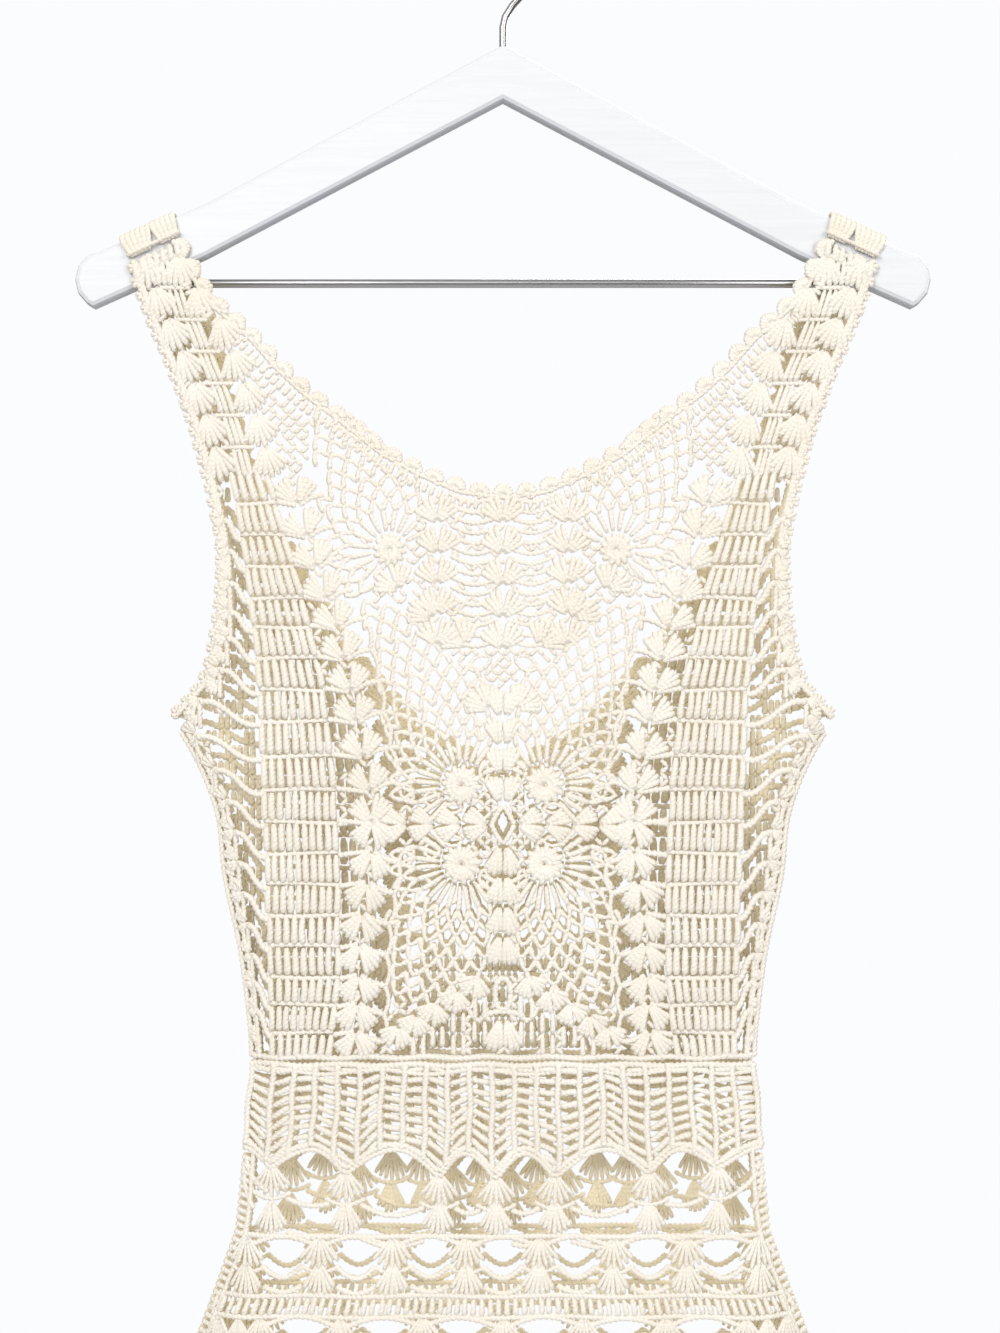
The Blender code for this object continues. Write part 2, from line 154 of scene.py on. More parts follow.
class Lace:
    """Strands of yarn worked on the chart of one layer, and the mesh they make."""

    def __init__(self, front, seed, keep=None):
        self.way = -1 if front else 1
        self.rng = np.random.default_rng(seed)
        self.keep = keep
        self.groups = {}
        # The chart's 1 mm cells that a strand or an opening covers.
        self.taken = np.zeros((CHART_HIGH, CHART_WIDE), bool)

    def add(self, points, radii, flat=True):
        """Stores one strand: rows of (x, t, height over the inner face), or of world mm."""
        if flat:
            if self.keep and not all(self.keep(*points[i][:2]) for i in (0, len(points) // 2, -1)):
                return
            self.cover(points[:, :2])
            x, t, h = points.T
            points = np.stack((x, self.way * (cloth_depth(x, t) + h), -(T_TOP + t)), axis=1)
        self.groups.setdefault(len(points), []).append((points * MM, radii * (WIDER if flat else 1) * MM))

    def cover(self, line, reach=1):
        """Notes the cells beside a line as taken."""
        steps = int(np.abs(np.diff(line, axis=0)).sum() / 0.7) + 2
        f = np.linspace(0, len(line) - 1, steps)
        x, t = (np.interp(f, np.arange(len(line)), line[:, c]).round().astype(int) for c in range(2))
        for dx in range(-reach, reach + 1):
            for dt in range(-reach, reach + 1):
                row = np.clip(t + dt, 0, CHART_HIGH - 1)
                self.taken[row, np.clip(x + dx + CHART_MIDDLE, 0, CHART_WIDE - 1)] = True

    def opening(self, start, end, reach=3):
        """Keeps the net out of a place."""
        self.cover(np.array((start, end), float), reach)

    def eyelet(self, x, t, width, height, lean=0.0, radius=0.9, square=1.3):
        """An opening left in the work, with chain round it."""
        a = np.linspace(0, 2 * math.pi, 17)
        halves = ((width / 2 + 0.8, np.cos(a)), (height / 2 + 0.8, np.sin(a)))
        ring = np.column_stack([half * np.sign(v) * np.abs(v) ** square for half, v in halves])
        c, s = turn(lean)
        ring = ring @ np.array(((c, s), (-s, c)))
        self.chain(ring + (x, t), radius, 3.1, smooth=False)
        for share in (0.75, 0.5, 0.25, 0.0):
            self.cover(ring * share + (x, t))

    def stitch(self, start, end, radius, lift=0.5, bow=0.25):
        """A tall stitch: a wrapped post with a fuller top."""
        start, end = np.array(start, float), np.array(end, float)
        f = np.array((0.0, 0.2, 0.5, 0.82, 1.0))
        across = np.array((-(end - start)[1], (end - start)[0]))
        across /= max(np.linalg.norm(across), 1e-6)
        swing = self.rng.normal(0, bow)
        flat = start + (end - start) * f[:, None] + across * (np.sin(f * math.pi) * swing)[:, None]
        height = 1.0 + self.rng.normal(0, 0.12) + lift * np.sin(f * math.pi)
        radii = radius * np.array((0.55, 0.95, 0.95, 1.12, 0.7)) * self.rng.normal(1, 0.03)
        self.add(np.column_stack((flat, height)), radii)

    def chain(self, line, radius=1.0, bead=3.1, lift=0.0, smooth=True):
        """A chain of small loops along a line of (x, t) points."""
        line = np.array(line, float)
        if smooth and len(line) > 2:
            key = np.arange(len(line))
            fine = np.linspace(0, len(line) - 1, 4 * len(line))
            line = np.column_stack([soft_curve(key, line[:, c], fine) for c in range(2)])
        steps = np.r_[0, np.cumsum(np.linalg.norm(np.diff(line, axis=0), axis=1))]
        rings = max(3, 2 * int(round(steps[-1] / bead)) + 1)
        at_steps = np.linspace(0, steps[-1], rings)
        flat = np.column_stack([np.interp(at_steps, steps, line[:, c]) for c in range(2)])
        radii = radius * np.where(np.arange(rings) % 2 == 1, 1.3, 0.86)
        height = np.full(rings, 1.1 + lift) + self.rng.normal(0, 0.08)
        self.add(np.column_stack((flat, height)), radii)

    def shell(self, base, aim, length=13.5, spread=64.0, count=8, radius=1.45, split=0.1, lift=0.8):
        """A fan of stitches out of one space, parted in the middle."""
        base = np.array(base, float)
        aim += self.rng.normal(0, 2.0)
        for i in range(count):
            f = 2 * i / (count - 1) - 1
            f = math.copysign(split + (1 - split) * abs(f), f) if split else f
            way = turn(aim + f * spread)
            reach = length * (1 - 0.14 * abs(f)) * self.rng.normal(1, 0.025)
            self.stitch(base + way * 1.2, base + way * reach, radius, lift, 0.15)

    def arc(self, start, end, sag, radius=1.0, **more):
        """A chain loop between two points that bows to the right of its way by sag."""
        start, end = np.array(start, float), np.array(end, float)
        along = end - start
        side = np.array((-along[1], along[0])) / max(np.linalg.norm(along), 1e-6)
        f = np.linspace(0, 1, 6)
        line = start + along * f[:, None] + side * (np.sin(f * math.pi) * sag)[:, None]
        self.chain(line, radius, smooth=False, **more)

    def fill(self, box, inside, pitch, radius=0.92):
        """Chain net in the open places that the pattern leaves."""
        (x0, t0), (x1, t1) = box
        for j in range(int((t1 - t0) / (pitch * 0.5)) + 1):
            for i in range(int((x1 - x0) / pitch) + 1):
                p = np.array((x0 + pitch * (i + 0.5 * (j % 2)), t0 + pitch * 0.5 * j))
                for step in ((0.5, 0.5), (-0.5, 0.5)):
                    q = p + np.array(step) * pitch
                    x, t = ((p + q) / 2).round().astype(int)
                    if inside(*p) and inside(*q) and not self.taken[t, x + CHART_MIDDLE]:
                        self.chain((p, q), radius, 9.0, smooth=False)

    def ground(self, box, inside, pitch=3.3, height=8.0):
        """Close rows of upright stitches in the open places that the pattern leaves."""
        (x0, t0), (x1, t1) = box
        for t in np.arange(t0, t1, height):
            for x in np.arange(x0, x1, pitch):
                free = not self.taken[int(round(t + height / 2)), int(round(x)) + CHART_MIDDLE]
                if free and inside(x, t) and inside(x, t + height):
                    self.stitch((x, t + 0.3), (x, t + height), 1.55, 0.2, 0.2)

    def mesh(self, name, sides=5, flat=0.65):
        """One mesh of all the strands, pressed flat by a share, with the yarn's length and way round as its map."""
        verts, faces, maps = [], [], []
        start = 0
        angle = np.arange(sides) * 2 * math.pi / sides
        for rings, strands in sorted(self.groups.items()):
            points, radii = (np.array(rows) for rows in zip(*strands))
            along = np.gradient(points, axis=1)
            along /= np.maximum(np.linalg.norm(along, axis=2, keepdims=True), 1e-12)
            guide = np.zeros_like(along)
            guide[..., 1] = 1
            guide[np.abs(along[..., 1]).max(axis=1) > 0.85] = (1, 0, 0)
            side = np.cross(along, guide)
            side /= np.maximum(np.linalg.norm(side, axis=2, keepdims=True), 1e-12)
            over = np.cross(side, along)
            ring = np.cos(angle)[:, None] * side[:, :, None, :] + flat * np.sin(angle)[:, None] * over[:, :, None, :]
            verts.append((points[:, :, None, :] + radii[:, :, None, None] * ring).reshape(-1, 3))
            count = len(strands)
            grid = start + np.arange(count * rings * sides).reshape(count, rings, sides)
            after = np.roll(grid, -1, axis=2)
            quads = np.stack((grid[:, :-1], grid[:, 1:], after[:, 1:], after[:, :-1]), axis=-1).reshape(-1, 4)
            steps = np.linalg.norm(np.diff(points, axis=1), axis=2)
            length = np.concatenate((np.zeros((count, 1)), np.cumsum(steps, axis=1)), axis=1)
            u = np.repeat(length[:, :, None], sides, axis=2)
            low, high = u[:, :-1], u[:, 1:]
            v0 = np.broadcast_to(np.arange(sides) / sides, low.shape)
            v1 = v0 + 1 / sides
            corners = (np.stack((low, high, high, low), -1), np.stack((v0, v0, v1, v1), -1))
            maps.append(np.stack(corners, -1).reshape(-1, 2))
            caps = np.concatenate((grid[:, 0], grid[:, -1, ::-1]))
            faces += quads.tolist() + caps.tolist()
            cap_map = np.column_stack((np.zeros(sides), np.arange(sides) / sides))
            maps.append(np.tile(cap_map, (len(caps), 1)))
            start += count * rings * sides
        mesh = bpy.data.meshes.new(name)
        mesh.from_pydata(np.concatenate(verts).tolist(), [], faces)
        mesh.uv_layers.new(name="yarn").data.foreach_set("uv", np.concatenate(maps).astype(np.float32).ravel())
        mesh.polygons.foreach_set("use_smooth", np.ones(len(mesh.polygons), bool))
        mesh.update()
        return mesh


def soft_curve(key, values, fine):
    """Smooth values between keys."""
    slope = np.gradient(values)
    low = np.clip(np.floor(fine).astype(int), 0, len(key) - 2)
    f = fine - low
    a, b, da, db = values[low], values[low + 1], slope[low], slope[low + 1]
    return a * (1 + 2 * f) * (1 - f) ** 2 + b * f * f * (3 - 2 * f) + da * f * (1 - f) ** 2 - db * f * f * (1 - f)


def mirrored(line):
    """A right-side line run on to the left side."""
    return [tuple(p) for p in line] + [(-x, t) for x, t in reversed(line) if x > 0.01]


def spaced(line, pitch):
    """Points an even distance apart along a line, with the way along it at each."""
    line = np.array(line, float)
    steps = np.r_[0, np.cumsum(np.linalg.norm(np.diff(line, axis=0), axis=1))]
    count = max(2, int(round(steps[-1] / pitch)))
    want = np.linspace(0, steps[-1], count + 1)
    points = np.column_stack([np.interp(want, steps, line[:, c]) for c in range(2)])
    way = np.gradient(points, axis=0)
    way /= np.linalg.norm(way, axis=1, keepdims=True)
    return points, way


def inset(line, width):
    """A line moved to its right."""
    points, way = spaced(line, 6.0)
    return points + np.column_stack((way[:, 1], -way[:, 0])) * width


def node(tree, kind, links=(), **settings):
    """Adds a shader node, sets its values and links its inputs, by name or by number."""
    made = tree.nodes.new("ShaderNode" + kind)
    for key, value in settings.items():
        if key == "stops":
            for stop, (position, colour) in zip(made.color_ramp.elements, value):
                stop.position, stop.color = position, (*colour, 1)
        elif hasattr(made, key):
            setattr(made, key, value)
        else:
            made.inputs[key.replace("_", " ")].default_value = value
    for name, source in links:
        tree.links.new(source, made.inputs[name])
    return made


def new_material(name):
    """A new material with its tree and its shader."""
    material = bpy.data.materials.new(name)
    material.use_nodes = True
    tree = material.node_tree
    return material, tree, tree.nodes["Principled BSDF"]


def facing_tone(tree, tone, other, axis, start, end):
    """A tone that turns into another colour as a face's normal goes from start to end along an axis."""
    facing = node(tree, "SeparateXYZ", (("Vector", node(tree, "TexCoord").outputs["Normal"]),))
    share = node(tree, "MapRange", (("Value", facing.outputs[axis]),), From_Min=start, From_Max=end)
    blend = node(tree, "Mix", (("Factor", share.outputs["Result"]), (6, tone)), data_type="RGBA")
    blend.inputs[7].default_value = (*other, 1)
    return blend.outputs[2]


def streaks(tree, stretch, scale, detail, strength, distance, colour, deepest):
    """The tone and the relief of fine streaks along the object, as outputs."""
    place = node(tree, "TexCoord")
    drawn = node(tree, "Mapping", (("Vector", place.outputs["Object"]),), Scale=stretch)
    noise = node(tree, "TexNoise", (("Vector", drawn.outputs["Vector"]),), Scale=scale, Detail=detail)
    relief = node(tree, "Bump", (("Height", noise.outputs["Fac"]),), Strength=strength, Distance=distance)
    deep = tuple(c * deepest for c in colour)
    tone = node(tree, "ValToRGB", (("Fac", noise.outputs["Fac"]),), stops=((0.3, deep), (0.7, colour)))
    return tone.outputs["Color"], relief.outputs["Normal"]


def dress(tree, shader, colour, relief, roughness):
    """Gives the shader its colour, relief and roughness."""
    tree.links.new(colour, shader.inputs["Base Color"])
    tree.links.new(relief, shader.inputs["Normal"])
    shader.inputs["Roughness"].default_value = roughness


def cotton(name, light, shade, inner, way):
    """Cotton yarn, spun, plied and crocheted: matte, with the plies' twist showing as fine slanted ridges.
    Faces that look into the dress (way -1 for the front layer, 1 for the back, 0 for neither) get a warmer, deeper
    tone.
    That tone is painted shade, for the warm shade between the two layers, and was chosen to match the photo. That
    tone was chosen to match the photo: whether it is in the yarn or in the light isn't known."""
    material, tree, shader = new_material(name)
    place = node(tree, "TexCoord")
    yarn = node(tree, "UVMap", uv_map="yarn")
    patches = node(tree, "TexNoise", (("Vector", place.outputs["Object"]),), Scale=38.0, Detail=3.0)
    # The ridges' pitch is a guess, wide enough for them to show.
    split = node(tree, "SeparateXYZ", (("Vector", yarn.outputs["UV"]),))
    turns, around = (node(tree, "Math", ((0, split.outputs[c]),), operation="MULTIPLY") for c in "XY")
    turns.inputs[1].default_value = 2 * math.pi / RIDGE_PITCH
    around.inputs[1].default_value = 4 * math.pi
    phase = node(tree, "Math", ((0, turns.outputs[0]), (1, around.outputs[0])), operation="ADD")
    plies = node(tree, "Math", ((0, phase.outputs[0]),), operation="SINE")
    fuzz = node(tree, "TexNoise", (("Vector", place.outputs["Object"]),), Scale=1500.0, Detail=2.0)
    ridge = node(tree, "Bump", (("Height", plies.outputs[0]),), Strength=0.35, Distance=0.0004)
    over_ridge = (("Height", fuzz.outputs["Fac"]), ("Normal", ridge.outputs["Normal"]))
    hairs = node(tree, "Bump", over_ridge, Strength=0.3, Distance=0.0003)
    tone = node(tree, "ValToRGB", (("Fac", patches.outputs["Fac"]),), stops=((0.3, shade), (0.7, light)))
    # Painted shade: faces that look into the dress take the warmer, deeper inside tone.
    colour = facing_tone(tree, tone.outputs["Color"], inner, "Y", 0.1 * way, -0.75 * way)
    dress(tree, shader, colour, hairs.outputs["Normal"], 0.9)
    shader.inputs["Sheen Weight"].default_value = 0.15
    shader.inputs["Specular IOR Level"].default_value = 0.25
    return material


def enamel(name, colour):
    """White enamel on sanded wood, taken as beech: smooth and half glossy, with the faintest grain under it.
    Faces that look down get a grey tone, which stands for the shade that the photo shows there."""
    material, tree, shader = new_material(name)
    tone, relief = streaks(tree, (12.0, 300.0, 300.0), 2.0, 4.0, 0.12, 0.0003, colour, 0.95)
    dress(tree, shader, facing_tone(tree, tone, linear(ENAMEL_SHADE), "Z", -0.15, -0.7), relief, 0.38)
    return material


def steel(name, colour, roughness, grit):
    """Steel, drawn or plated: metal with fine scratches round it that soften its highlight."""
    material, tree, shader = new_material(name)
    dress(tree, shader, *streaks(tree, (4.0, grit, grit), 8.0, 3.0, 0.1, 0.0002, colour, 0.8), roughness)
    shader.inputs["Metallic"].default_value = 1.0
    return material


def finish(name):
    """A finish by its name, made once from the colours in the panel."""
    if name in bpy.data.materials:
        return bpy.data.materials[name]
    colours = bpy.context.scene.crochet_colours
    if name.startswith("cotton_yarn"):
        way = {"front": -1, "back": 1}.get(name.removeprefix("cotton_yarn_"), 0)
        tones = [tuple(tone) for tone in (colours.yarn_light, colours.yarn_shade, colours.yarn_inner)]
        return cotton(name, *tones, way)
    if name == "white_enamel_on_beech":
        return enamel(name, tuple(colours.enamel))
    if name == "brushed_steel_bar":
        return steel(name, tuple(colours.steel), 0.3, 900.0)
    return steel(name, tuple(colours.steel), 0.18, 300.0)


def put(name, data):
    """Adds an object to the scene."""
    made = bpy.data.objects.new(name, data)
    bpy.context.scene.collection.objects.link(made)
    return made


def piece(name, mesh, finish_name, nodes):
    """Adds a piece, gives it its finish and sets it in place of its solids."""
    made = put(name, mesh)
    mesh.materials.append(finish(finish_name))
    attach(made, "root")
    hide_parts(*nodes)
    return made


def ring_test(ring, margin=0.0):
    """A test for points inside a closed ring of (x, t)."""
    xs, ts = np.array(ring, float).T
    xe, te = np.roll(xs, -1), np.roll(ts, -1)
    run, drop = xe - xs, te - ts
    size = np.maximum(run ** 2 + drop ** 2, 1e-9)

    def inside(x, t):
        cross = (ts > t) != (te > t)
        where = xs + run * (t - ts) / np.where(drop == 0, 1e-9, drop)
        if not np.count_nonzero(cross & (x < where)) % 2:
            return False
        f = np.clip(((x - xs) * run + (t - ts) * drop) / size, 0, 1)
        return bool(((x - xs - run * f) ** 2 + (t - ts - drop * f) ** 2).min() >= margin ** 2)

    return inside


def bodice_ring(neck):
    """Outline of one bodice layer, edgings included."""
    right = list(ARMHOLE + SIDE[1:])
    return right + [(-x, t) for x, t in reversed(right)] + list(reversed(mirrored(neck)))


def strap_band(lace, s):
    """Shells at both edges of a strap with upright stitches and small openings between them."""
    for x in np.linspace(170, 192, 7):
        top = 11.8 + (x - 166.8) * 0.5
        lace.stitch((s * x, top), (s * (x - 1.5), top + 8.5), 1.7)
    t = 24.0
    while t < 128:
        outer = at_drop(ARMHOLE, t) - 3.0
        slope = (at_drop(ARMHOLE, t + 8) - at_drop(ARMHOLE, t - 8)) / 16
        lean = math.degrees(math.atan2(slope, 1))
        inner = max(outer - 40, at_drop(FRONT_NECK, t) + 4) if t < 60 else outer - 39
        middle = (outer + inner) / 2
        side = (outer - inner) / 2 - 6.5
        for way in (1, -1):
            x = middle + way * side
            lace.shell((s * x, t - 4.0), DOWN - s * lean, 18.5, 37, 7, 1.5, 0.0, 0.5)
            gap = middle + way * (side - 7.0)
            lace.opening((s * gap, t - 1), (s * (gap + slope * 9), t + 8), 2)
        for i in range(3):
            x = middle + (i - 1) * 2.9
            lace.stitch((s * x, t - 2), (s * (x + slope * 14), t + 12.8), 1.35)
        lace.chain(((s * (middle - 8), t - 3), (s * (middle + 8), t - 3)), 1.05, 2.6)
        t += 16.6


def ladders(lace, s, radius, pitch, rows, wider):
    """Rows of upright stitches with small eyelets between the rows."""
    for t0, t1 in zip(rows, rows[1:]):
        in0, in1 = at(LADDER_IN, t0) - wider, at(LADDER_IN, t1) - wider
        out0, out1 = at(LADDER_OUT, t0), at(LADDER_OUT, t1)
        count = max(4, int(round((out0 - in0 + out1 - in1) / 2 / pitch)))
        tip = lace.rng.uniform(-0.5, 0.5)
        for i in range(count + 1):
            a = in0 + (out0 - in0) * i / count
            b = in1 + (out1 - in1) * i / count
            lace.stitch((s * a, t0 + 0.9 + tip * math.sin(i)), (s * (b + tip), t1 - 1.1), radius, 0.5, 0.3)
        line = [(s * (in0 - 1 + (out0 - in0 + 2) * f), t0 + 0.7 * math.sin(3 * f + t0)) for f in np.linspace(0, 1, 7)]
        lace.chain(line, 1.1, (out0 - in0) / count, -0.4)
        for f in (0.25, 0.75):
            lace.cover(np.array(((s * in0, t0), (s * out0, t0))) + (0, (t1 - t0) * f), 4)


def side_work(lace, s, rows):
    """Slanted chain loops and the crumpled shell column at the side."""
    for t in rows[2:]:
        rise = 12 if t > 220 else 9
        top = t - rise
        edge = at_drop(ARMHOLE, top) if top < 259 else at_drop(SIDE, top)
        out = at(LADDER_OUT, t)
        column = max(out + (edge - out) * 0.6, edge - 9)
        f = np.linspace(0, 1, 6)
        loop = np.column_stack((s * (out + (column - out) * f), t + 2 - rise * f + 2.4 * np.sin(f * 2 * math.pi)))
        lace.chain(loop, 1.5, 3.0, 0.5)
        away = RIGHT if s > 0 else LEFT
        lace.shell((s * column, top), away, max(5.0, edge - column), 58, 7, 1.25, 0.0, 0.9)
        lace.shell((s * (column + 1), top + 8), away + s * 30, max(4.5, edge - column - 1), 50, 6, 1.2, 0.0, 0.6)
        lace.chain(((s * column, top), (s * (column - 0.5), min(top + 16, 438))), 1.2)
        if lace.way < 0:
            for low in range(0, 16, 2):
                lace.opening((s * (out + 2), t - low), (s * column, t - low - rise), 1)
    for inward in (0.6, 4.2):
        lace.chain([(s * (x - inward), min(t, 438.8)) for x, t in SIDE[1:]], 1.3)


def shell_column(lace, s, rows, nearer):
    """A column of shells that open away from the middle of the bodice, with openings on both sides of it."""
    for t0, t1 in zip(rows, rows[1:]):
        down = t0 >= CENTRE_T - 8
        sign = 1 if down else -1
        base, tip = (t0 - 1, t1) if down else (t1 + 1, t0)
        x = at(SHELL_COLUMN, base) - nearer
        lean = math.degrees(math.atan2(at(SHELL_COLUMN, tip) - nearer - x, abs(tip - base)))
        lace.shell((s * x, base), (DOWN - s * lean) if down else (UP + s * lean), 16.5, 52, 8, 1.5, 0.2)
        wall, far = at(LADDER_IN, base) - nearer, at(SHELL_COLUMN, tip) - nearer
        lace.chain(((s * (x + 1), base), (s * (wall - 1), base + 2.0 * sign)), 1.35, 2.8)
        lace.arc((s * (x - 1), base), (s * (x - 13.5), base + 5.5 * sign), -1.2 * s * sign, 1.35)
        lace.opening((s * (x + wall) / 2, base + 2 * sign), (s * (far + wall) / 2, tip), 3)
        lace.opening((s * (x - 9), base + 5 * sign), (s * (far - 9), tip + 2 * sign), 4)
        if 205 < t0 < 290 or 325 < t0 < 425:
            lace.arc((s * (x - 13.5), base + 5.5 * sign), (s * (far - 13.5), tip + 5.5 * sign), 2.4 * s * sign, 1.1)


def pineapple(lace, s, centre, aim, disc, posts, reach, rows, inside, swing, cell):
    """A round of closed stitches, a ring of long ones and a chain net that widens from it."""
    centre = np.array((s * centre[0], centre[1]), float)
    aim = aim if s > 0 else 180 - aim
    for i in range(24):
        way = turn(aim + 15 * i)
        lace.stitch(centre + way * 0.8, centre + way * (disc + (0.4 if i % 2 else -1.6)), 1.4, 1.0, 0.1)
    step = 2 * swing / (posts - 1)
    for i in range(posts):
        way = turn(aim - swing + step * i)
        lace.stitch(centre + way * (disc + 1.2), centre + way * reach, 1.35, 0.4, 0.2)
    for k in range(rows):
        low = reach - 0.6 + cell * k
        step = 2 * swing / (posts - 1 + 6 * (k // 3))
        for i in range(-1, int(2 * swing / step) + 1):
            a = aim - swing + step * (i + 0.5 * (k % 2))
            p, q = centre + turn(a) * low, centre + turn(a + step) * low
            if inside(*p) and inside(*q):
                lace.arc(p, q, -cell - 0.6, 1.15, bead=6.0)
                middle = turn(a + step / 2)
                lace.opening(centre + middle * low, centre + middle * (low + cell), 3)


def lobes(lace, base, aim, length=15.5, count=4):
    """Two narrow shells side by side with a slit between them."""
    base = np.array(base, float)
    for side in (1, -1):
        start = base + turn(aim + 90) * side * 1.6
        lace.shell(start, aim + side * 15, length, 16, count, 1.5, 0.0)


def bodice_centre(lace, nearer):
    """The four pineapples, the cross of paired shells and the yoke above them."""
    lace.eyelet(0, CENTRE_T, *((6.0, 13.0) if nearer else (10.0, 18.0)), 0.0, 1.15, 1.7)
    for k in range(4):
        lobes(lace, (0, 306 - 15 * k), UP)
    for k in range(4):
        lobes(lace, (0, 328 + 15.5 * k), DOWN, 16.5)
    if not nearer:
        lace.eyelet(0, 405, 6.5, 15.0, 0.0, 1.35, 0.9)
        lobes(lace, (0, 418), DOWN, 18.0)
        lace.chain(((-11, 416.5), (-4, 414.5), (4, 414.5), (11, 416.5)), 1.3)
        lace.opening((-6, 392), (6, 392), 2)
    for s in (1, -1):
        for k in range(4):
            lace.shell((s * (7.5 + 14.0 * k), CENTRE_T), RIGHT if s > 0 else LEFT, 15.0, 42, 8, 1.5, 0.16)
        lace.shell((s * 7, 257), UP + s * 40, 15.0, 50, 8, 1.45)
        for x, t, width, height, lean in CENTRE_EYELETS:
            lace.eyelet(s * x, t, width, height, s * lean)
        for low in (False, True):
            sign = 1 if low else -1

            def inside(x, t, s=s, low=low):
                x, y = s * x, (t - CENTRE_T) * (1 if low else -1)
                wall = at(SHELL_COLUMN, t) - nearer - 14
                return 6 < x < wall and 9 < y < (108 - 0.45 * x if low else 66 + 0.85 * x)

            rows = 3 if nearer else 13
            pineapple(lace, s, (21.5, CENTRE_T + sign * 20.5), 52.0 * sign, 10.4, 16, 25.0, rows, inside, 100.0, 6.4)
        for x, t in STAIRS:
            lace.shell((s * x, t - 8), DOWN - s * 18, 12.5, 56, 8, 1.4)
            if not nearer:
                lace.opening((s * x, t + 3), (s * x, 434), 4)
            for top in () if nearer else np.arange(t + 4, 431, 11.5):
                for side in (-3.4, 1.8):
                    lace.stitch((s * (x + side), top), (s * (x + side), min(top + 10.5, 437.5)), 1.3)
        for x, t in ((19, 216), (37, 202), (54, 187)):
            lace.shell((s * x, t + 8), UP + s * 34, 15.5, 58, 8, 1.45)
        for k in range(5):
            lace.shell((s * 34, 160 + 16 * k), UP, 15.5, 58, 8, 1.4)
            for j in range(3):
                t = 147 + 16 * k + 5.4 * j
                line = [(s * (5 + 22 * f), t + 3.2 * math.sin(f * math.pi) - 2 * f) for f in np.linspace(0, 1, 6)]
                lace.chain(line, 1.15)

        def yoke(x, t, s=s):
            x = s * x
            return 41 < x < at(SHELL_COLUMN, max(t, 121)) - 12 and 40 < t < 218 and t < 250 - 0.5 * (x - 43)

        pineapple(lace, s, (59, 174), -53.0, 8.5, 12, 21.0, 12, yoke, 100.0, 6.2)
    for k in range(5):
        lace.shell((0, 160 + 16.5 * k), UP, 16.0, 58, 8, 1.45)


def bodice(front, sizes):
    """Every strand of one bodice layer."""
    neck = FRONT_NECK if front else BACK_NECK
    ring = bodice_ring(neck)
    lace = Lace(front, 11 if front else 12, ring_test(ring, 0.4))
    rows = ROWS_T if front else [t - 7.5 for t in ROWS_T] + [ROWS_T[-1]]
    nearer = 0 if front else 17  # mm that the back's ladders and shell columns reach further in
    coarser = 1.0 if front else 1.15
    for s in (1, -1):
        strap_band(lace, s)
        ladders(lace, s, sizes.post_radius * coarser, sizes.post_pitch * coarser, rows, nearer)
        side_work(lace, s, rows)
        shell_column(lace, s, rows, nearer)
    bodice_centre(lace, nearer)
    for s in (1, -1):
        lace.chain([(s * (x - 5.2), t) for x, t in ARMHOLE[:-1]], 1.2)
    lace.chain(inset(mirrored(neck), 7.4), 1.2)
    points, way = spaced(inset(mirrored(neck), 11.0), 4.0)
    for p, (dx, dt) in zip(points, way):
        across = np.array((dt, -dx)) * 2.8
        lace.stitch(p - across, p + across, 1.25)
    lace.chain([(x, 438.2 + 0.5 * math.sin(x / 5)) for x in np.linspace(-129, 129, 50)], 1.3, lift=0.3)
    if front:
        lace.fill(((-200, 8), (200, 440)), ring_test(ring, 3.0), 6.8)
    else:
        lace.ground(((-185, 12), (185, 436)), ring_test(ring, 2.0))
    return lace


def edging(front, line, width, pitch, seed, count=5, radius=1.2):
    """Small shells side by side along an edge, over a foundation chain."""
    lace = Lace(front, seed)
    points = spaced(line, pitch)[0]
    for a, b in zip(points, points[1:]):
        along = (b - a) / np.linalg.norm(b - a)
        inward = np.array((along[1], -along[0]))
        middle = (a + b) / 2 + inward * (width - 1.0)
        aim = math.degrees(math.atan2(-inward[1], -inward[0]))
        lace.shell(middle, aim, width - 0.2, 66, count, radius, 0.0, 0.5)
    base = inset(line, width - 1.1)
    lace.chain(base, 1.15)
    return lace


